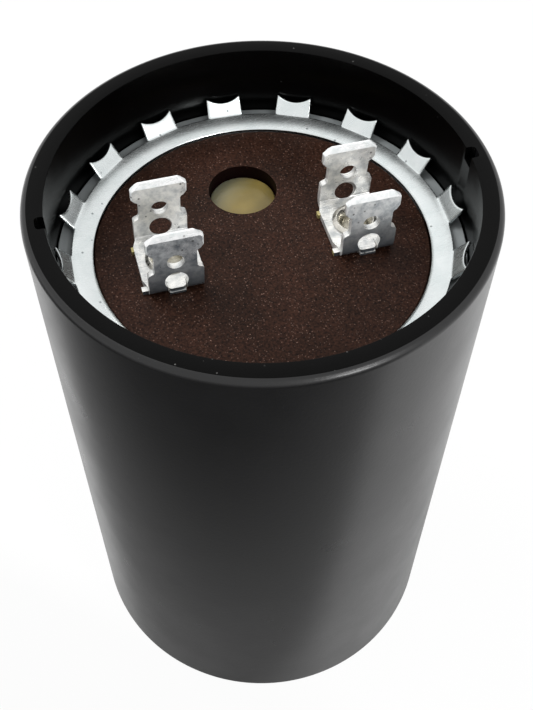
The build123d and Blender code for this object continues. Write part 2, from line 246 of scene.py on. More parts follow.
@dataclass(frozen=True)
class PlatedSheet:
    """Plated sheet metal: bright, a little mottled, with rolling lines, scuffs and specks of dirt."""

    name: str
    dark: str
    light: str
    dirt: str
    roughness: float
    roughness_spread: float = 0.12
    mottle_mm: float = 1.6
    mottle_from: float = 0.32
    mottle_to: float = 0.62
    scuff_mm: float = 0.35
    scuff_stretch: float = 9.0
    scuff_tilt: tuple[float, float] = (0.3, 0.2)
    scuff_turn_deg: float = 35.0
    dent_mm: float = 2.4
    dent_bump_mm: float = 0.02
    fine_bump_mm: float = 0.004
    dirt_mm: float = 0.7
    dirt_edge: float = 0.28
    dirt_core: float = 0.1
    dirt_share: float = 0.1
    metal_share: float = 1.0
    # Painted shade at the foot: its grey, and the heights over which it fades out.
    painted_foot_shade: str = ""
    painted_foot_shade_low_mm: float = 75.5
    painted_foot_shade_high_mm: float = 81.5

    def material(self) -> bpy.types.Material:
        """Build the material.

        Returns:
            Mottled plating with fine directional scuffs, soft dents and a few dark specks.
        """
        material, tree, shader, place = blank_material(self.name)
        mottle = add_node(tree, "ShaderNodeTexNoise", {
            "Scale": 1 / (self.mottle_mm * MM), "Detail": 5.0, "Roughness": 0.62}, {"Vector": place})
        base = add_node(tree, "ShaderNodeValToRGB", {}, {"Fac": mottle.outputs["Fac"]})
        set_stops(base, ((self.mottle_from, self.dark), (self.mottle_to, self.light)))
        turned = add_node(tree, "ShaderNodeMapping", {
            "Rotation": (*self.scuff_tilt, math.radians(self.scuff_turn_deg)),
            "Scale": (1.0, self.scuff_stretch, 1.0)}, {"Vector": place})
        scuff = add_node(tree, "ShaderNodeTexNoise", {
            "Scale": 1 / (self.scuff_mm * self.scuff_stretch * MM), "Detail": 4.0, "Roughness": 0.7},
            {"Vector": turned.outputs["Vector"]})
        cells = add_node(tree, "ShaderNodeTexVoronoi", {"Scale": 1 / (self.dirt_mm * MM)},
                         {"Vector": place})
        near = add_node(tree, "ShaderNodeMapRange", {
            "From Min": self.dirt_edge, "From Max": self.dirt_core, "To Min": 0.0, "To Max": 1.0},
            {"Value": cells.outputs["Distance"]})
        chosen = add_node(tree, "ShaderNodeSeparateColor", {}, {"Color": cells.outputs["Color"]})
        picked = add_node(tree, "ShaderNodeMath", {"operation": "LESS_THAN", 1: self.dirt_share},
                          {0: chosen.outputs["Red"]})
        specks = add_node(tree, "ShaderNodeMath", {"operation": "MULTIPLY"},
                          {0: near.outputs["Result"], 1: picked.outputs[0]})
        colour = add_node(tree, "ShaderNodeMix", {"data_type": "RGBA", 7: linear(self.dirt)},
                          {0: specks.outputs[0], 6: base.outputs["Color"]})
        # Painted shade: where given, the colour turns grey towards the part's foot, below the upper height.
        if self.painted_foot_shade:
            split = add_node(tree, "ShaderNodeSeparateXYZ", {}, {"Vector": place})
            height = add_node(tree, "ShaderNodeMapRange", {
                "From Min": self.painted_foot_shade_low_mm * MM, "From Max": self.painted_foot_shade_high_mm * MM},
                {"Value": split.outputs["Z"]})
            colour = add_node(tree, "ShaderNodeMix", {"data_type": "RGBA", 6: linear(self.painted_foot_shade)},
                              {0: height.outputs["Result"], 7: colour.outputs[2]})
        tree.links.new(colour.outputs[2], shader.inputs["Base Color"])
        gloss = add_node(tree, "ShaderNodeMapRange", {
            "From Min": NOISE_LOW, "From Max": NOISE_HIGH,
            "To Min": self.roughness - self.roughness_spread,
            "To Max": self.roughness + self.roughness_spread}, {"Value": scuff.outputs["Fac"]})
        tree.links.new(gloss.outputs["Result"], shader.inputs["Roughness"])
        dents = add_node(tree, "ShaderNodeTexNoise", {
            "Scale": 1 / (self.dent_mm * MM), "Detail": 1.0}, {"Vector": place})
        soft = add_node(tree, "ShaderNodeBump", {"Strength": 1.0, "Distance": self.dent_bump_mm * MM},
                        {"Height": dents.outputs["Fac"]})
        fine = add_node(tree, "ShaderNodeBump", {"Strength": 1.0, "Distance": self.fine_bump_mm * MM},
                        {"Height": scuff.outputs["Fac"], "Normal": soft.outputs["Normal"]})
        tree.links.new(fine.outputs["Normal"], shader.inputs["Normal"])
        shader.inputs["Metallic"].default_value = self.metal_share
        return material


@dataclass(frozen=True)
class MouldedRubber:
    """Moulded rubber: smooth and soft-looking, with faint flow rings about the part's axis."""

    name: str
    dark: str
    light: str
    roughness: float
    centre_mm: tuple[float, float]
    ring_mm: float = 0.9
    ring_bump_mm: float = 0.01
    ring_waver: float = 0.6
    cloud_mm: float = 5.0
    cloud_from: float = 0.35
    cloud_to: float = 0.65
    glow: float = 0.0
    glow_depth_mm: tuple[float, float, float] = (1.2, 0.9, 0.3)
    # Painted reflection: a grey tint and the side, span and share over which it is mixed into the colour.
    painted_reflection: str = ""
    painted_reflection_deg: float = 0.0
    painted_reflection_from_mm: float = 0.2
    painted_reflection_to_mm: float = 3.6
    painted_reflection_share: float = 0.8

    def material(self) -> bpy.types.Material:
        """Build the material.

        Returns:
            Cloudy rubber with rings from its mould, light that sinks in where it lets light
            through, and a painted reflection, paler and greyer, on one side where it has one.
        """
        material, tree, shader, place = blank_material(self.name)
        placed = add_node(tree, "ShaderNodeMapping", {
            "Location": (-self.centre_mm[0] * MM, -self.centre_mm[1] * MM, 0.0)}, {"Vector": place})
        cloud = add_node(tree, "ShaderNodeTexNoise", {
            "Scale": 1 / (self.cloud_mm * MM), "Detail": 3.0}, {"Vector": placed.outputs["Vector"]})
        base = add_node(tree, "ShaderNodeValToRGB", {}, {"Fac": cloud.outputs["Fac"]})
        set_stops(base, ((self.cloud_from, self.dark), (self.cloud_to, self.light)))
        colour = base.outputs["Color"]
        # Painted reflection: a paler grey is mixed in towards one side, in place of light mirrored by the
        # rubber.
        if self.painted_reflection:
            side = math.radians(self.painted_reflection_deg)
            reach = add_node(tree, "ShaderNodeVectorMath", {
                "operation": "DOT_PRODUCT", 1: (math.cos(side), math.sin(side), 0.0)},
                {0: placed.outputs["Vector"]})
            share = add_node(tree, "ShaderNodeMapRange", {
                "From Min": self.painted_reflection_from_mm * MM, "From Max": self.painted_reflection_to_mm * MM,
                "To Max": self.painted_reflection_share}, {"Value": reach.outputs["Value"]})
            mixed = add_node(tree, "ShaderNodeMix", {"data_type": "RGBA", 7: linear(self.painted_reflection)},
                             {0: share.outputs["Result"], 6: colour})
            colour = mixed.outputs[2]
        tree.links.new(colour, shader.inputs["Base Color"])
        rings = add_node(tree, "ShaderNodeTexWave", {
            "wave_type": "RINGS", "rings_direction": "Z", "Scale": 1 / (self.ring_mm * MM) / FULL_TURN,
            "Distortion": self.ring_waver, "Detail": 2.0}, {"Vector": placed.outputs["Vector"]})
        bump = add_node(tree, "ShaderNodeBump", {"Strength": 1.0, "Distance": self.ring_bump_mm * MM},
                        {"Height": rings.outputs["Fac"]})
        tree.links.new(bump.outputs["Normal"], shader.inputs["Normal"])
        shader.inputs["Roughness"].default_value = self.roughness
        shader.inputs["Subsurface Weight"].default_value = self.glow
        shader.inputs["Subsurface Radius"].default_value = tuple(d * MM for d in self.glow_depth_mm)
        shader.inputs["Subsurface Scale"].default_value = 1.0
        return material


@dataclass(frozen=True)
class PressedFibre:
    """Paper and pressboard: matt fibre felt with a soft tooth."""

    name: str
    dark: str
    light: str
    fibre_mm: float = 0.5
    fibre_stretch: float = 4.0
    tooth_mm: float = 0.02
    roughness: float = 0.9

    def material(self) -> bpy.types.Material:
        """Build the material.

        Returns:
            Streaky brown fibre with a rough, non-glossy face.
        """
        material, tree, shader, place = blank_material(self.name)
        drawn = add_node(tree, "ShaderNodeMapping", {"Scale": (1.0, 1.0, self.fibre_stretch)},
                         {"Vector": place})
        fibres = add_node(tree, "ShaderNodeTexNoise", {
            "Scale": 1 / (self.fibre_mm * MM), "Detail": 6.0, "Roughness": 0.7},
            {"Vector": drawn.outputs["Vector"]})
        base = add_node(tree, "ShaderNodeValToRGB", {}, {"Fac": fibres.outputs["Fac"]})
        set_stops(base, ((NOISE_LOW, self.dark), (NOISE_HIGH, self.light)))
        tree.links.new(base.outputs["Color"], shader.inputs["Base Color"])
        bump = add_node(tree, "ShaderNodeBump", {"Strength": 1.0, "Distance": self.tooth_mm * MM},
                        {"Height": fibres.outputs["Fac"]})
        tree.links.new(bump.outputs["Normal"], shader.inputs["Normal"])
        shader.inputs["Roughness"].default_value = self.roughness
        return material


@dataclass(frozen=True)
class RolledFoil:
    """Edge of a roll of foil and paper: fine alternating rings of dull metal and brown."""

    name: str
    metal: str
    paper: str
    turn_mm: float = 0.6
    turn_waver: float = 1.2
    paper_until: float = 0.25
    metal_from: float = 0.6
    paper_roughness: float = 0.75
    metal_roughness: float = 0.35
    metal_share: float = 0.5

    def material(self) -> bpy.types.Material:
        """Build the material.

        Returns:
            Rings about the roll's axis, wider than the real turns so that they show.
        """
        material, tree, shader, place = blank_material(self.name)
        turns = add_node(tree, "ShaderNodeTexWave", {
            "wave_type": "RINGS", "rings_direction": "Z", "Scale": 1 / (self.turn_mm * MM) / FULL_TURN,
            "Distortion": self.turn_waver, "Detail": 3.0}, {"Vector": place})
        base = add_node(tree, "ShaderNodeValToRGB", {}, {"Fac": turns.outputs["Fac"]})
        set_stops(base, ((self.paper_until, self.paper), (self.metal_from, self.metal)))
        tree.links.new(base.outputs["Color"], shader.inputs["Base Color"])
        gloss = add_node(tree, "ShaderNodeMapRange", {
            "To Min": self.paper_roughness, "To Max": self.metal_roughness}, {"Value": turns.outputs["Fac"]})
        tree.links.new(gloss.outputs["Result"], shader.inputs["Roughness"])
        shader.inputs["Metallic"].default_value = self.metal_share
        return material


# Phenolic moulded against a polished wall: satin black, with a long soft sheen down the side.
CASE_WALL = MouldedPhenolic("black_phenolic_satin_wall", "070708", "0c0c0d", "2c2c2e", 0.3,
                            fleck_share=0.08, fleck_size=0.12)

# The same moulding on the rim: matt and almost without shine, so that it looks flat black.
CASE_RIM = MouldedPhenolic("black_phenolic_matt_rim", "010101", "030303", "5a5a58", 0.5, specular=0.08,
                           fleck_mm=0.9, fleck_share=0.12, fleck_size=0.1)

# The same moulding down in the mouth: deep black, smooth and a little wavy in its gloss.
CASE_BORE = MouldedPhenolic("black_phenolic_glossy_bore", "010101", "030303", "3a3a39", 0.2,
                            roughness_spread=0.04, specular=0.1, fleck_mm=1.2, fleck_share=0.06,
                            fleck_size=0.08, grain_mm=2.2, grain_bump_mm=0.02)

# Brown phenolic with ground filler: a dull brown face with pale specks. The specks and the
# grain are drawn a little coarser than the real ones, so that they show.
HEADER_FACE = MouldedPhenolic("brown_phenolic_header", "25160f", "342018", "6e584e", 0.42, specular=0.1,
                              cloud_mm=6.0, grain_mm=0.28, grain_bump_mm=0.012, grain_shade=0.75,
                              fleck_mm=0.27, fleck_share=0.65, fleck_size=0.26)

# The same brown moulding down the vent opening, darkened to nearly black with a red tinge: painted shade for
# the inside of the opening.
VENT_WALL_PAINTED_SHADE = MouldedPhenolic("brown_phenolic_with_painted_shade_in_vent", "0a0202", "120405", "2a1412", 0.5, specular=0.06)

# Nitrile rubber, smooth from its mould: pale grey with a soft shine.
GREY_RUBBER = MouldedRubber("grey_rubber_gasket", "8a8f90", "a0a5a6", 0.45, (0.0, 0.0))

# Soft rubber that light sinks into: dull amber, with a painted reflection that turns it greyer towards its
# far left side.
AMBER_RUBBER = MouldedRubber("amber_rubber_plug", "76683a", "8c7b44", 0.3, (0.0, VENT_Y), glow=0.15,
                             painted_reflection="6f7264", painted_reflection_deg=135.0)

# Bright zinc on spring steel: cool and nearly white, with a few dull specks.
ZINC_PLATE = PlatedSheet("zinc_plated_spring_steel", "d8dfdf", "e2e7e7", "8a9192", 0.26,
                         roughness_spread=0.03, mottle_mm=2.4, dirt_share=0.03, dent_bump_mm=0.01,
                         fine_bump_mm=0.002)

# Tin over pressed brass sheet: pale and silky, mottled by small dents and specks.
TINNED_BRASS = PlatedSheet("tinned_brass_sheet", "bcbfc0", "f4f3ef", "4a4947", 0.32, mottle_mm=1.1,
                           dirt_mm=0.6, dent_mm=1.6, dent_bump_mm=0.035, metal_share=0.45)

# The same tin on the left bracket's front face: darker blue-grey and blotchy as painted shade, and darkest
# at its foot, where more shade is painted.
FRONT_TIN_PAINTED_SHADE = PlatedSheet("tinned_brass_front_with_painted_shade", "7d858c", "dde1e4", "3e4042", 0.34,
                         mottle_mm=1.0, dirt_share=0.15, dirt_mm=0.6, dent_mm=1.6, dent_bump_mm=0.035,
                         metal_share=0.6, painted_foot_shade="6c7278")

# The same tin on the right bracket's front face: bright, and grey only at its foot, where shade is painted.
FRONT_TIN_PAINTED_FOOT_SHADE = PlatedSheet("tinned_brass_front_with_painted_foot_shade", "b2b9be", "fafcfc", "4a4c4e", 0.34,
                          mottle_mm=1.0, dirt_share=0.15, dirt_mm=0.6, dent_mm=1.6, dent_bump_mm=0.035,
                          metal_share=0.4, painted_foot_shade="5d6369")

# Tin on the coined slopes, painted nearly white: a painted highlight round the heads where the slopes face
# the light.
COINED_TIN_PAINTED_HIGHLIGHT = PlatedSheet("tinned_brass_coined_with_painted_highlight", "dfe4e4", "fdfdfd", "7a7977", 0.3,
                            mottle_mm=0.8, dirt_share=0.04, metal_share=0.2)

# Bare metal where the strip was cut off: two small yellow ends on each base.
BARE_BRASS = PlatedSheet("bare_brass_at_a_sheared_nib", "9c8f58", "c2b67c", "4b4630", 0.35, mottle_mm=0.7,
                         dirt_share=0.04, metal_share=0.4)

# Tinned brass turned and rolled over: warmer and shinier than the sheet.
RIVET_BRASS = PlatedSheet("tinned_brass_rivet", "b8b5ab", "e2dfd6", "4b4a48", 0.28, mottle_mm=0.9,
                          dirt_share=0.04)

# Soft aluminium strip: pale grey and dull.
LEAD_FOIL = PlatedSheet("soft_aluminium_strip", "c8c9ca", "e0e1e2", "8b8c8d", 0.4)

# Foil and paper seen on edge: grey and brown rings, drawn wider than the real turns.
WINDING_EDGE = RolledFoil("foil_and_paper_turns", "a9a9a4", "7a5c3a")

# Kraft paper: warm brown, with fine streaks of fibre along the sleeve.
KRAFT = PressedFibre("kraft_paper_sleeve", "7d5f3f", "96754f")

# Pressboard: a greyer brown, and mottled, because its fibres lie every way.
PRESSBOARD = PressedFibre("grey_brown_pressboard", "6e5a42", "87715a", fibre_stretch=1.0)


class CupFace(IntEnum):
    """Which finish a face of the cup has."""

    WALL = 0
    RIM = 1
    BORE = 2


class HeaderFace(IntEnum):
    """Which finish a face of the header has."""

    MOULDED = 0
    # The vent opening's wall, which carries painted shade.
    VENT = 1


class BracketFace(IntEnum):
    """Which finish a face of a bracket has."""

    SHEET = 0
    # Coined slopes, which carry a painted highlight.
    COINED = 1
    # Front faces, which carry painted shade.
    FRONT = 2
    NIB = 3


def spun(points: list[tuple[float, float]], segments: int, closed: bool) -> bmesh.types.BMesh:
    """Spin a half section about Z.

    Args:
        points: Radius and height of each corner, in millimetres.
        segments: How many steps the full turn takes.
        closed: Whether the last corner joins the first, as on a ring.

    Returns:
        The spun faces, joined where they meet and turned one way, which is outward on a shell.
    """
    bm = bmesh.new()
    verts = [bm.verts.new((r * MM, 0.0, z * MM)) for r, z in points]
    edges = [bm.edges.new(pair) for pair in zip(verts, verts[1:])]
    if closed:
        edges.append(bm.edges.new((verts[-1], verts[0])))
    bmesh.ops.spin(bm, geom=[*verts, *edges], cent=(0.0, 0.0, 0.0), axis=(0.0, 0.0, 1.0),
                   angle=FULL_TURN, steps=segments, use_merge=True, use_duplicate=False)
    bmesh.ops.remove_doubles(bm, verts=bm.verts[:], dist=HAIR * MM)
    bmesh.ops.recalc_face_normals(bm, faces=bm.faces[:])
    return bm


def circle_edges(bm: bmesh.types.BMesh, radius: float, height: float) -> list[bmesh.types.BMEdge]:
    """Edges that lie on a circle about Z.

    Args:
        bm: The mesh to look in.
        radius: The circle's radius in millimetres.
        height: The circle's height in millimetres.

    Returns:
        The edges with both ends on the circle.
    """
    near = 0.02 * MM

    def on_circle(vert: bmesh.types.BMVert) -> bool:
        """Whether a vertex lies on the circle."""
        return abs(vert.co.xy.length - radius * MM) < near and abs(vert.co.z - height * MM) < near

    return [e for e in bm.edges if on_circle(e.verts[0]) and on_circle(e.verts[1])]


def soften(bm: bmesh.types.BMesh, edges: list[bmesh.types.BMEdge], width: float, segments: int) -> None:
    """Round a set of edges.

    Args:
        bm: The mesh that holds them.
        edges: The edges to round.
        width: How far the rounding reaches, in millimetres.
        segments: How many faces it has.
    """
    bmesh.ops.bevel(bm, geom=edges, offset=width * MM, offset_type="OFFSET", segments=segments,
                    profile=0.5, affect="EDGES", material=-1, clamp_overlap=True)


def piece_from(bm: bmesh.types.BMesh, name: str, sharp_deg: float = SHARP_DEG) -> bpy.types.Object:
    """Turn a finished bmesh into an object at the origin, shaded smooth up to an angle.

    Args:
        bm: The mesh, which is freed.
        name: The object's name.
        sharp_deg: Edges that turn more than this stay sharp.

    Returns:
        The new object, linked to the scene.
    """
    mesh = bpy.data.meshes.new(name)
    bm.to_mesh(mesh)
    bm.free()
    shade(mesh, sharp_deg)
    piece = bpy.data.objects.new(name, mesh)
    bpy.context.scene.collection.objects.link(piece)
    return piece


def shade(mesh: bpy.types.Mesh, sharp_deg: float) -> None:
    """Shade a mesh smooth, with its sharp edges kept.

    Args:
        mesh: The mesh to shade.
        sharp_deg: Edges that turn more than this stay sharp.
    """
    mesh.shade_smooth()
    mesh.set_sharp_from_angle(angle=math.radians(sharp_deg))


def bake(piece: bpy.types.Object, sharp_deg: float | None = None) -> None:
    """Apply every modifier of a piece to its mesh.

    Args:
        piece: The object to bake.
        sharp_deg: Edges that turn more than this stay sharp; left as they are if not given.
    """
    graph = bpy.context.evaluated_depsgraph_get()
    done = bpy.data.meshes.new_from_object(piece.evaluated_get(graph), depsgraph=graph)
    piece.modifiers.clear()
    old = piece.data
    piece.data = done
    bpy.data.meshes.remove(old)
    done.name = piece.name
    if sharp_deg is not None:
        shade(done, sharp_deg)


def cut_away(piece: bpy.types.Object, cutters: list[bpy.types.Object]) -> None:
    """Cut other closed shapes out of a piece and remove them.

    Args:
        piece: The object that is cut.
        cutters: The objects that cut it.
    """
    for cutter in cutters:
        cut = piece.modifiers.new("cut", "BOOLEAN")
        cut.operation = "DIFFERENCE"
        cut.solver = "EXACT"
        cut.object = cutter
    bake(piece, SHARP_DEG)
    for cutter in cutters:
        mesh = cutter.data
        bpy.data.objects.remove(cutter)
        bpy.data.meshes.remove(mesh)


def round_cutter(
    radius: float, x: float, y: float, low: float, high: float, segments: int
) -> bpy.types.Object:
    """Make an upright round cutter.

    Args:
        radius: Its radius.
        x: Its axis along X.
        y: Its axis along Y.
        low: Height of its lower end.
        high: Height of its upper end.
        segments: How many sides it has.

    Returns:
        The cutter as an object.
    """
    bm = bmesh.new()
    place = Matrix.Translation((x * MM, y * MM, (low + high) / 2 * MM))
    bmesh.ops.create_cone(bm, cap_ends=True, segments=segments, radius1=radius * MM, radius2=radius * MM,
                          depth=(high - low) * MM, matrix=place)
    return piece_from(bm, "cutter")


def dress(piece: bpy.types.Object, slot: str, materials: list[bpy.types.Material],
          replaced: str | None = None) -> None:
    """Give a piece its materials, body and place in the record.

    Args:
        piece: The object to dress.
        slot: The record's material slot.
        materials: Its materials in slot order.
        replaced: The solid that it stands for, if any.
    """
    piece.data.materials.clear()
    for material in materials:
        piece.data.materials.append(material)
    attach(piece, "root")
    if replaced:
        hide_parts(replaced)
    LOG.info("piece %s on slot %s, %d faces", piece.name, slot, len(piece.data.polygons))


def merged_copy(node: str) -> bmesh.types.BMesh:
    """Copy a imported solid's loose triangles into one mesh with whole flat faces.

    Args:
        node: The solid's name.

    Returns:
        The joined mesh, its flat triangles merged.
    """
    bm = bmesh.new()
    bm.from_mesh(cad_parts[node].data)
    bmesh.ops.remove_doubles(bm, verts=bm.verts[:], dist=2 * HAIR * MM)
    bmesh.ops.dissolve_limit(bm, angle_limit=math.radians(FLAT_DEG), use_dissolve_boundaries=False,
                             verts=bm.verts[:], edges=bm.edges[:], delimit={"NORMAL"})
    return bm


def round_edges(piece: bpy.types.Object, width: float, over_deg: float) -> None:
    """Give a piece a small rounding on its sharp edges that leaves flat faces flat.

    Args:
        piece: The object.
        width: How far the rounding reaches, in millimetres.
        over_deg: Edges that turn more than this are rounded.
    """
    rounding = piece.modifiers.new("sheared_edges", "BEVEL")
    rounding.width = width * MM
    rounding.segments = 2
    rounding.limit_method = "ANGLE"
    rounding.angle_limit = math.radians(over_deg)
    rounding.harden_normals = True


def paint(node: str, material: bpy.types.Material) -> None:
    """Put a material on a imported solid.

    Args:
        node: The solid's name.
        material: Its finish.
    """
    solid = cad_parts[node]
    solid.data.materials.clear()
    solid.data.materials.append(material)
    LOG.info("solid %s gets %s", node, material.name)


@dataclass
class MouldedCup:
    """The black moulded cup with its rim, counterbore and key notches."""

    radius: float = CASE_RADIUS
    height: float = CASE_HEIGHT
    floor: float = 3.2
    body_bore: float = 22.4
    mouth_bore: float = 23.68
    ledge: float = HEADER_BOTTOM
    base_edge: float = 2.5
    rim_edge: float = 0.85
    edge_steps: int = 8
    rim_inner_edge: float = 0.12
    rim_inner_steps: int = 2
    rim_depth: float = 0.02
    notch_width: float = 1.75
    notch_reach: float = 1.02
    notch_depth: float = 1.6
    notch_corner: float = 0.45
    notch_corner_steps: int = 5
    notch_turn_deg: float = -2.0
    segments: int = 256

    def shell(self) -> bpy.types.Object:
        """Spin the cup's wall, round its edges and cut its two notches.

        Returns:
            The cup as one closed shell.
        """
        bm = spun([
            (0.0, 0.0),
            (self.radius, 0.0),
            (self.radius, self.height),
            (self.mouth_bore, self.height),
            (self.mouth_bore, self.ledge),
            (self.body_bore, self.ledge),
            (self.body_bore, self.floor),
            (0.0, self.floor),
        ], self.segments, closed=False)
        soften(bm, circle_edges(bm, self.radius, 0.0), self.base_edge, self.edge_steps)
        soften(bm, circle_edges(bm, self.radius, self.height), self.rim_edge, self.edge_steps)
        soften(bm, circle_edges(bm, self.mouth_bore, self.height), self.rim_inner_edge,
               self.rim_inner_steps)
        cup = piece_from(bm, "moulded_cup")
        cut_away(cup, [self.notch_cutter()])
        return cup

    def notch_cutter(self) -> bpy.types.Object:
        """Make one bar with rounded ends that cuts both key notches.

        Returns:
            The bar as an object.
        """
        bm = bmesh.new()
        length = 2 * (self.mouth_bore + self.notch_reach)
        height = 2 * self.notch_depth
        place = (Matrix.Rotation(math.radians(self.notch_turn_deg), 4, "Z")
                 @ Matrix.Translation((0.0, 0.0, self.height * MM))
                 @ Matrix.Diagonal((length * MM, self.notch_width * MM, height * MM, 1.0)))
        bmesh.ops.create_cube(bm, size=1.0, matrix=place)
        upright = [e for e in bm.edges if abs(e.verts[0].co.z - e.verts[1].co.z) > self.notch_depth * MM]
        soften(bm, upright, self.notch_corner, self.notch_corner_steps)
        return piece_from(bm, "cutter")

    def build(self) -> bpy.types.Object:
        """Make the cup and give its wall, rim and bore their own finish.

        Returns:
            The dressed cup.
        """
        cup = self.shell()
        dress(cup, "case", [CASE_WALL.material(), CASE_RIM.material(), CASE_BORE.material()], "case")
        rim_low = (self.height - self.rim_depth) * MM
        bore_reach = (self.mouth_bore + self.notch_reach) * MM
        under_floor = self.floor / 2 * MM
        for face in cup.data.polygons:
            reach = face.center.xy.length
            if face.center.z > rim_low and reach > self.mouth_bore * MM:
                face.material_index = CupFace.RIM
            elif reach < bore_reach and face.center.z > under_floor:
                face.material_index = CupFace.BORE
        return cup


@dataclass
class Header:
    """The brown header disc with its flange, vent opening and rivet holes."""

    top: float = HEADER_TOP
    bottom: float = HEADER_BOTTOM
    middle: float = 19.3
    flange: float = HEADER_RADIUS
    flange_top: float = GASKET_BOTTOM
    edge: float = 0.1
    edge_steps: int = 3
    vent: float = 4.1
    vent_margin: float = 0.05
    vent_recess: float = 6.0
    vent_recess_depth: float = 0.7
    vent_segments: int = 96
    rivet_hole: float = 1.95
    rivet_segments: int = 48
    cut_past: float = 1.0
    upright: float = 0.5
    segments: int = 192

    def build(self) -> bpy.types.Object:
        """Spin the disc and cut its openings.

        Returns:
            The dressed header.
        """
        bm = spun([
            (0.0, self.bottom),
            (self.flange, self.bottom),
            (self.flange, self.flange_top),
            (self.middle, self.flange_top),
            (self.middle, self.top),
            (0.0, self.top),
        ], self.segments, closed=False)
        soften(bm, circle_edges(bm, self.middle, self.top), self.edge, self.edge_steps)
        disc = piece_from(bm, "header_disc")
        low = self.bottom - self.cut_past
        high = self.top + self.cut_past
        recess_top = self.bottom + self.vent_recess_depth
        cutters = [
            round_cutter(self.vent, 0.0, VENT_Y, low, high, self.vent_segments),
            round_cutter(self.vent_recess, 0.0, VENT_Y, low, recess_top, self.vent_segments),
        ]
        for side in Side:
            x = side.value * TERMINAL_X
            cutters.append(round_cutter(self.rivet_hole, x, 0.0, low, high, self.rivet_segments))
        cut_away(disc, cutters)
        dress(disc, "header", [HEADER_FACE.material(), VENT_WALL_PAINTED_SHADE.material()], "header")
        vent = Vector((0.0, VENT_Y * MM))
        vent_reach = (self.vent + self.vent_margin) * MM
        # Painted shade: the vent opening's upright wall takes the darkened copy of the header's brown.
        for face in disc.data.polygons:
            if (face.center.xy - vent).length < vent_reach and abs(face.normal.z) < self.upright:
                face.material_index = HeaderFace.VENT
        return disc


@dataclass
class Gasket:
    """The grey rubber ring on the header's flange."""

    outer: float = HEADER_RADIUS
    bore: float = GASKET_BORE
    low: float = GASKET_BOTTOM
    thickness: float = 1.5
    edge: float = 0.12
    edge_steps: int = 3
    segments: int = 192

    def build(self) -> bpy.types.Object:
        """Spin the ring and round its upper outer edge.

        Returns:
            The dressed gasket.
        """
        top = self.low + self.thickness
        bm = spun([(self.bore, self.low), (self.outer, self.low), (self.outer, top), (self.bore, top)],
                  self.segments, closed=True)
        soften(bm, circle_edges(bm, self.outer, top), self.edge, self.edge_steps)
        ring = piece_from(bm, "rubber_gasket")
        dress(ring, "gasket", [GREY_RUBBER.material()], "gasket")
        return ring


@dataclass
class VentPlug:
    """The amber rubber plug under the vent opening."""

    low: float = HEADER_BOTTOM
    flange: float = 5.9
    flange_height: float = 0.7
    boss: float = 4.0
    boss_height: float = 1.0
    edge: float = 0.25
    edge_steps: int = 4
    segments: int = 96

    def build(self) -> bpy.types.Object:
        """Spin the plug and round its boss.

        Returns:
            The dressed plug.
        """
        shoulder = self.low + self.flange_height
        top = shoulder + self.boss_height
        bm = spun([(0.0, self.low), (self.flange, self.low), (self.flange, shoulder), (self.boss, shoulder),
                   (self.boss, top), (0.0, top)], self.segments, closed=False)
        soften(bm, circle_edges(bm, self.boss, top), self.edge, self.edge_steps)
        bmesh.ops.translate(bm, verts=bm.verts[:], vec=(0.0, VENT_Y * MM, 0.0))
        plug = piece_from(bm, "vent_plug")
        dress(plug, "vent_diaphragm", [AMBER_RUBBER.material()], "vent_diaphragm")
        return plug


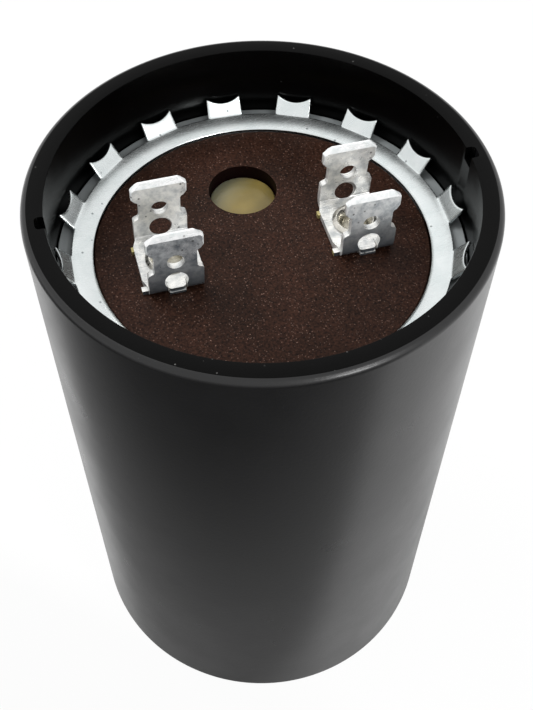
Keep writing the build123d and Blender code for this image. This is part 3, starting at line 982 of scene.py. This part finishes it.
@dataclass
class RetainingRing:
    """The toothed spring ring: a dished band with fingers bent up and forked at their tips."""

    bore: float = 19.4
    root: float = 21.85
    sheet: float = 0.4
    rise: float = 0.52
    crown: float = 0.06
    fingers: int = 16
    phase_deg: float = 19.8
    root_width: float = 4.4
    tip_width: float = 4.2
    length: float = 2.36
    angle_deg: float = 50.7
    fork_radius: float = 3.4
    fork_depth: float = 0.7
    crease: float = 0.14
    crease_lift: float = 0.02
    edge: float = 0.07
    edge_over_deg: float = 50.0
    sharp_deg: float = 35.0
    steps_inside: int = 6
    steps_across: int = 14
    steps_between: int = 12
    steps_along: int = 6

    @property
    def bore_top(self) -> float:
        """Height of the band's upper face at its bore, with the band lying on the gasket's bore."""
        slope = self.rise / (self.root - self.bore)
        return HEADER_TOP + self.sheet - slope * (GASKET_BORE - self.bore)

    @property
    def pitch(self) -> float:
        """Angle from one finger to the next."""
        return FULL_TURN / self.fingers

    @property
    def half_finger(self) -> float:
        """Angle from a finger's middle to its side, at its root."""
        return math.asin(self.root_width / 2 / self.root)

    @property
    def first_finger(self) -> float:
        """Angle of the first finger's middle."""
        return math.radians(self.phase_deg)

    def surface(self) -> bmesh.types.BMesh:
        """Spin the upper face over the full turn, with a wide outer band for the fingers.

        Returns:
            A flat open surface whose outer rows become the fingers.
        """
        inner = self.root - self.crease
        outer = self.root + self.crease
        radii = [self.bore + (inner - self.bore) * i / self.steps_inside
                 for i in range(self.steps_inside + 1)]
        radii += [self.root, outer]
        radii += [outer + (self.length - self.crease) * i / self.steps_along
                  for i in range(1, self.steps_along + 1)]
        steps = self.steps_across + self.steps_between
        bm = spun([(radius, 0.0) for radius in radii], self.fingers * steps, closed=False)
        for vert in bm.verts:
            number, step = divmod(round(math.atan2(vert.co.y, vert.co.x) / self.pitch * steps), steps)
            if step <= self.steps_across:
                turn = self.half_finger * (2 * step / self.steps_across - 1)
            else:
                between = (step - self.steps_across) / self.steps_between
                turn = self.half_finger + (self.pitch - 2 * self.half_finger) * between
            turn += self.first_finger + number * self.pitch
            reach = vert.co.xy.length
            vert.co = (reach * math.cos(turn), reach * math.sin(turn), 0.0)
        return bm

    def nearest_finger(self, x: float, y: float) -> tuple[float, int]:
        """Find the finger nearest to a point.

        Args:
            x: The point's place along X.
            y: Its place along Y.

        Returns:
            The point's angle from that finger's middle, and the finger's number.
        """
        turn = (math.atan2(y, x) - self.first_finger) / self.pitch
        number = round(turn)
        return (turn - number) * self.pitch, number

    def cut_gaps(self, bm: bmesh.types.BMesh) -> None:
        """Take the outer band away between the fingers.

        Args:
            bm: The flat surface.
        """
        gaps = []
        for face in bm.faces:
            centre = face.calc_center_median()
            off, _ = self.nearest_finger(centre.x, centre.y)
            if centre.xy.length > self.root * MM and abs(off) > self.half_finger:
                gaps.append(face)
        bmesh.ops.delete(bm, geom=gaps, context="FACES")

    def bend(self, bm: bmesh.types.BMesh) -> None:
        """Dish the flat surface, bend its fingers up and fork their tips.

        Args:
            bm: The flat surface, which is left with its faces turned up.
        """
        for vert in bm.verts:
            off, number = self.nearest_finger(vert.co.x, vert.co.y)
            middle = self.first_finger + number * self.pitch
            radial, lateral, height = self.bent(vert.co.xy.length / MM, off)
            out = Vector((math.cos(middle), math.sin(middle), 0.0))
            side = Vector((-math.sin(middle), math.cos(middle), 0.0))
            vert.co = (out * radial + side * lateral) * MM + Vector((0.0, 0.0, height * MM))
        bmesh.ops.recalc_face_normals(bm, faces=bm.faces[:])
        if bm.faces[0].normal.z < 0:
            bmesh.ops.reverse_faces(bm, faces=bm.faces[:])

    def bent(self, reach: float, off: float) -> tuple[float, float, float]:
        """Where a point of the flat surface ends up.

        Args:
            reach: Its distance from the axis in the flat surface.
            off: Its angle from the middle of its finger.

        Returns:
            Distance out along the finger's middle line, distance to its side, and height.
        """
        portion = off / self.half_finger
        share = (reach - self.bore) / (self.root - self.bore)
        dome = self.crown * 4 * share * (1 - share)
        if abs(portion) > 1 + HAIR:
            return reach * math.cos(off), reach * math.sin(off), self.bore_top + self.rise * share + dome
        fold = math.sqrt(self.root ** 2 - (self.root_width / 2) ** 2)
        if reach <= self.root + HAIR:
            blend = max(share, 0.0) ** 4
            radial = reach * math.cos(off) * (1 - blend) + (fold + reach - self.root) * blend
            lift = self.crease_lift if abs(reach - self.root) < HAIR else 0.0
            return radial, reach * math.sin(off), self.bore_top + self.rise * share + dome + lift
        slope = math.radians(self.angle_deg)
        along = reach - self.root
        width = self.root_width + (self.tip_width - self.root_width) * along / self.length
        lateral = portion * width / 2
        fork = self.fork_radius - math.sqrt(self.fork_radius ** 2 - lateral ** 2)
        end = min(self.length - self.fork_depth + fork, self.length)
        if along > self.crease + HAIR:
            blade = (along - self.crease) / (self.length - self.crease)
            along = self.crease + blade * (end - self.crease)
        height = self.bore_top + self.rise + along * math.sin(slope)
        return fold + along * math.cos(slope), lateral, height

    def build(self) -> bpy.types.Object:
        """Cut and bend the sheet's upper face, then give it its thickness and rounded edges.

        Returns:
            The dressed ring.
        """
        bm = self.surface()
        self.cut_gaps(bm)
        self.bend(bm)
        ring = piece_from(bm, "toothed_ring")
        wall = ring.modifiers.new("sheet", "SOLIDIFY")
        wall.thickness = self.sheet * MM
        wall.offset = -1.0
        wall.use_even_offset = True
        round_edges(ring, self.edge, self.edge_over_deg)
        bake(ring, self.sharp_deg)
        dress(ring, "retaining_ring", [ZINC_PLATE.material()], "retaining_ring")
        return ring


@dataclass
class Bracket:
    """One folded terminal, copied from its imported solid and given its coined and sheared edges."""

    side: Side
    head_low: float = 6.5
    coin: float = 0.15
    edge: float = 0.06
    sharp_deg: float = 25.0
    square_from_deg: float = 75.0
    square_to_deg: float = 105.0
    half_base: float = 3.5
    nib_clearance: float = 0.02
    front_y: float = -4.0
    front_facing: float = 0.8
    sloped_z: float = 0.2
    sloped_xy: float = 0.3

    @property
    def head_z(self) -> float:
        """Height of the heads' lower corners, in metres."""
        return (HEADER_TOP + self.head_low) * MM

    def coin_heads(self, bm: bmesh.types.BMesh) -> None:
        """Press a slope on every square edge of the two heads.

        Args:
            bm: The bracket's mesh.
        """
        square = [
            e for e in bm.edges
            if len(e.link_faces) == 2 and min(v.co.z for v in e.verts) > self.head_z
            and self.square_from_deg < math.degrees(e.calc_face_angle(0.0)) < self.square_to_deg
        ]
        soften(bm, square, self.coin, 1)

    def finish_of(self, face: bpy.types.MeshPolygon) -> BracketFace:
        """Tell which finish a face has.

        Args:
            face: A face of the bracket.

        Returns:
            Its finish: coined slope, cut nib, front of the bracket or plain sheet.
        """
        turned = face.normal
        sloped = abs(turned.z) > self.sloped_z or min(abs(turned.x), abs(turned.y)) > self.sloped_xy
        nib_x = self.side.value * TERMINAL_X - self.half_base - self.nib_clearance
        if face.center.z > self.head_z and sloped and turned.z > -self.sloped_z:
            return BracketFace.COINED
        if face.center.x < nib_x * MM:
            return BracketFace.NIB
        # Front faces take the tin with painted shade.
        if turned.y < -self.front_facing and face.center.y < self.front_y * MM:
            return BracketFace.FRONT
        return BracketFace.SHEET

    def build(self, finishes: list[bpy.types.Material]) -> bpy.types.Object:
        """Copy the solid, coin its heads and round every edge.

        Args:
            finishes: The bracket's finishes, in the order of BracketFace.

        Returns:
            The dressed bracket.
        """
        node = f"terminal_{self.side.word}"
        bm = merged_copy(node)
        self.coin_heads(bm)
        piece = piece_from(bm, f"bracket_{self.side.word}", self.sharp_deg)
        round_edges(piece, self.edge, self.sharp_deg)
        bake(piece)
        dress(piece, "terminal", finishes, node)
        for face in piece.data.polygons:
            face.material_index = self.finish_of(face)
        return piece


@dataclass
class HollowRivet:
    """One semi-tubular rivet with its rolled end over the bracket."""

    side: Side
    plate_z: float = HEADER_TOP + TERMINAL_SHEET
    low: float = RIVET_BOTTOM
    shank: float = 1.9
    base: float = 2.75
    base_height: float = 0.7
    roll: float = 2.6
    roll_foot: float = 2.35
    roll_lift: float = 0.15
    crest: float = 2.13
    crest_height: float = 0.55
    crest_edge: float = 0.16
    crest_steps: int = 4
    bore: float = 1.4
    bore_top: float = -0.3
    hole_depth: float = 1.5
    sharp_deg: float = 45.0
    segments: int = 72

    def build(self, material: bpy.types.Material) -> bpy.types.Object:
        """Spin the rivet and round its crest.

        Args:
            material: The rivet's finish.

        Returns:
            The dressed rivet.
        """
        crest_z = self.plate_z + self.crest_height
        base_top = self.low + self.base_height
        bm = spun([
            (0.0, self.low),
            (self.base, self.low),
            (self.base, base_top),
            (self.shank, base_top),
            (self.shank, self.plate_z),
            (self.roll_foot, self.plate_z),
            (self.roll, self.plate_z + self.roll_lift),
            (self.crest, crest_z),
            (self.bore, self.plate_z + self.bore_top),
            (self.bore, self.plate_z - self.hole_depth),
            (0.0, self.plate_z - self.hole_depth),
        ], self.segments, closed=False)
        soften(bm, circle_edges(bm, self.crest, crest_z), self.crest_edge, self.crest_steps)
        bmesh.ops.translate(bm, verts=bm.verts[:], vec=(self.side.value * TERMINAL_X * MM, 0.0, 0.0))
        piece = piece_from(bm, f"hollow_rivet_{self.side.word}", self.sharp_deg)
        dress(piece, "rivet", [material], f"rivet_{self.side.word}")
        return piece


@dataclass
class InnerPieces:
    """What the cup holds out of sight: winding, sleeve, insulators and leads."""

    def build(self) -> None:
        """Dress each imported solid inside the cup."""
        fibre = PRESSBOARD.material()
        strip = LEAD_FOIL.material()
        paint("winding", WINDING_EDGE.material())
        paint("winding_wrap", KRAFT.material())
        paint("bottom_insulator", fibre)
        paint("top_insulator", fibre)
        for side in Side:
            paint(f"lead_{side.word}", strip)


@dataclass(frozen=True)
class SoftBox:
    """One square lamp that faces the part."""

    name: str
    at: tuple[float, float, float]
    size: float
    watts: float
    mirrored: bool = True

    def hang(self, aim_height: float) -> None:
        """Hang the lamp, which glossy faces show only if it is mirrored.

        Args:
            aim_height: Height of the point on the part's axis that it faces.
        """
        data = bpy.data.lights.new(self.name, "AREA")
        data.shape = "SQUARE"
        data.size = self.size * MM
        data.energy = self.watts
        lamp = bpy.data.objects.new(self.name, data)
        bpy.context.scene.collection.objects.link(lamp)
        lamp.visible_glossy = self.mirrored
        place = Vector(self.at) * MM
        back = place - Vector((0.0, 0.0, aim_height)) * MM
        lamp.matrix_world = Matrix.Translation(place) @ back.to_track_quat("Z", "Y").to_matrix().to_4x4()


@dataclass
class Studio:
    """Plain pale floor, soft light and the camera of the reference view."""

    focal_mm: float = 51.74
    sensor_mm: float = 36.0
    camera_at: tuple[float, float, float] = (-21.59, -77.85, 161.78)
    heading_deg: float = 15.9
    pitch_deg: float = 53.29
    roll_deg: float = 0.56
    nearest_seen: float = 1.0
    farthest_seen: float = 10000.0
    floor_half: float = 900.0
    floor_drop: float = 0.02
    floor_white: float = 0.96
    floor_roughness: float = 0.9
    # Side, start and end of the floor's painted shade.
    painted_shade_side_deg: float = 220.5
    painted_shade_near: float = 18.0
    painted_shade_far: float = 300.0

    # The floor's painted shade, which glossy faces mirror: its grey by its share of the way from the near to
    # the far end of the shaded side.
    floor_painted_shade_greys: tuple[tuple[float, str], ...] = (
        (0.0, "fafafa"), (0.027, "9c9c9c"), (0.068, "8e8e8e"), (0.15, "747474"),
        (0.218, "4c4c4c"), (0.273, "404040"), (0.5, "6c6c6c"), (1.0, "9c9c9c"))

    air_light: float = 0.72
    aim_height: float = 60.0
    lamps: tuple[SoftBox, ...] = (
        SoftBox("top_soft_box", (-60.0, 330.0, 620.0), 420.0, 0.12),
        SoftBox("key_soft_box", (-330.0, 260.0, 560.0), 330.0, 2.6, mirrored=False),
        SoftBox("front_lamp", (240.0, -490.0, 510.0), 120.0, 0.9),
        SoftBox("low_front_lamp", (180.0, -480.0, 240.0), 80.0, 0.9))

    def camera(self) -> None:
        """Stand the camera at the reference view."""
        heading = math.radians(self.heading_deg)
        pitch = math.radians(self.pitch_deg)
        roll = math.radians(self.roll_deg)
        level = math.cos(pitch)
        ahead = Vector((math.sin(heading) * level, math.cos(heading) * level, -math.sin(pitch)))
        right = ahead.cross(Vector((0.0, 0.0, 1.0))).normalized()
        up = right.cross(ahead)
        rolled_right = right * math.cos(roll) + up * math.sin(roll)
        rolled_up = up * math.cos(roll) - right * math.sin(roll)
        turn = Matrix((rolled_right, rolled_up, -ahead)).transposed().to_4x4()
        data = bpy.data.cameras.new("reference_view")
        data.lens = self.focal_mm
        data.sensor_width = self.sensor_mm
        data.sensor_fit = "AUTO"
        data.clip_start = self.nearest_seen * MM
        data.clip_end = self.farthest_seen * MM
        camera = bpy.data.objects.new("reference_view", data)
        bpy.context.scene.collection.objects.link(camera)
        camera.matrix_world = Matrix.Translation(Vector(self.camera_at) * MM) @ turn
        bpy.context.scene.camera = camera

    def floor(self) -> None:
        """Lay a wide floor that the camera sees nearly white, with a trace of the part's shadow.

        The part's glossy wall mirrors the floor's painted shade: pale, and grey to the near left.
        """
        bm = bmesh.new()
        bmesh.ops.create_grid(bm, x_segments=1, y_segments=1, size=self.floor_half * MM,
                              matrix=Matrix.Translation((0.0, 0.0, -self.floor_drop * MM)))
        ground = piece_from(bm, "studio_floor")
        material, tree, shader, place = blank_material("white_paper_sweep_with_painted_shade")
        # Painted shade: the floor darkens towards the near left for every ray but the camera's.
        painted_shade_side = math.radians(self.painted_shade_side_deg)
        ahead = add_node(tree, "ShaderNodeVectorMath", {
            "operation": "DOT_PRODUCT", 1: (math.sin(painted_shade_side), math.cos(painted_shade_side), 0.0)}, {0: place})
        depth = add_node(tree, "ShaderNodeMapRange", {
            "From Min": self.painted_shade_near * MM, "From Max": self.painted_shade_far * MM},
            {"Value": ahead.outputs["Value"]})
        shaded = add_node(tree, "ShaderNodeValToRGB", {}, {"Fac": depth.outputs["Result"]})
        set_stops(shaded, self.floor_painted_shade_greys)
        tree.links.new(shaded.outputs["Color"], shader.inputs["Base Color"])
        shader.inputs["Roughness"].default_value = self.floor_roughness
        seen = add_node(tree, "ShaderNodeLightPath", {})
        share = add_node(tree, "ShaderNodeMath", {"operation": "MULTIPLY", 1: self.floor_white},
                         {0: seen.outputs["Is Camera Ray"]})
        white = add_node(tree, "ShaderNodeEmission", {"Color": linear("ffffff"), "Strength": 1.0})
        mixed = add_node(tree, "ShaderNodeMixShader", {}, {
            0: share.outputs[0], 1: shader.outputs[0], 2: white.outputs[0]})
        tree.links.new(mixed.outputs[0], tree.nodes["Material Output"].inputs["Surface"])
        ground.data.materials.append(material)

    def air(self) -> None:
        """Fill the room with even light, and let the camera and glossy faces see it white."""
        world = bpy.data.worlds.new("studio_air")
        world.use_nodes = True
        bpy.context.scene.world = world
        tree = world.node_tree
        tree.nodes.clear()
        seen = add_node(tree, "ShaderNodeLightPath", {})
        shown = add_node(tree, "ShaderNodeMath", {"operation": "MAXIMUM"}, {
            0: seen.outputs["Is Camera Ray"], 1: seen.outputs["Is Glossy Ray"]})
        plain = add_node(tree, "ShaderNodeBackground", {
            "Color": linear("ffffff"), "Strength": self.air_light})
        white = add_node(tree, "ShaderNodeBackground", {"Color": linear("ffffff"), "Strength": 1.0})
        mixed = add_node(tree, "ShaderNodeMixShader", {}, {
            0: shown.outputs[0], 1: plain.outputs[0], 2: white.outputs[0]})
        add_node(tree, "ShaderNodeOutputWorld", {}, {"Surface": mixed.outputs[0]})

    def build(self) -> None:
        """Set the camera, the floor, the lamps and the world."""
        self.camera()
        self.floor()
        for lamp in self.lamps:
            lamp.hang(self.aim_height)
        self.air()
        bpy.context.scene.view_settings.view_transform = "Standard"


def main() -> None:
    """Build the studio and every piece in order."""
    logging.basicConfig(level=logging.INFO, format="%(name)s: %(message)s")
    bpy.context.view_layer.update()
    Studio().build()
    MouldedCup().build()
    Header().build()
    Gasket().build()
    VentPlug().build()
    RetainingRing().build()
    tinned = TINNED_BRASS.material()
    painted_highlight_tin = COINED_TIN_PAINTED_HIGHLIGHT.material()
    painted_shade_fronts = {Side.LEFT: FRONT_TIN_PAINTED_SHADE.material(), Side.RIGHT: FRONT_TIN_PAINTED_FOOT_SHADE.material()}
    brass = RIVET_BRASS.material()
    bare = BARE_BRASS.material()
    for side in Side:
        Bracket(side).build([tinned, painted_highlight_tin, painted_shade_fronts[side], bare])
        HollowRivet(side).build(brass)
        paint(f"rivet_washer_{side.word}", brass)
    InnerPieces().build()


if __name__ == "__main__":
    main()
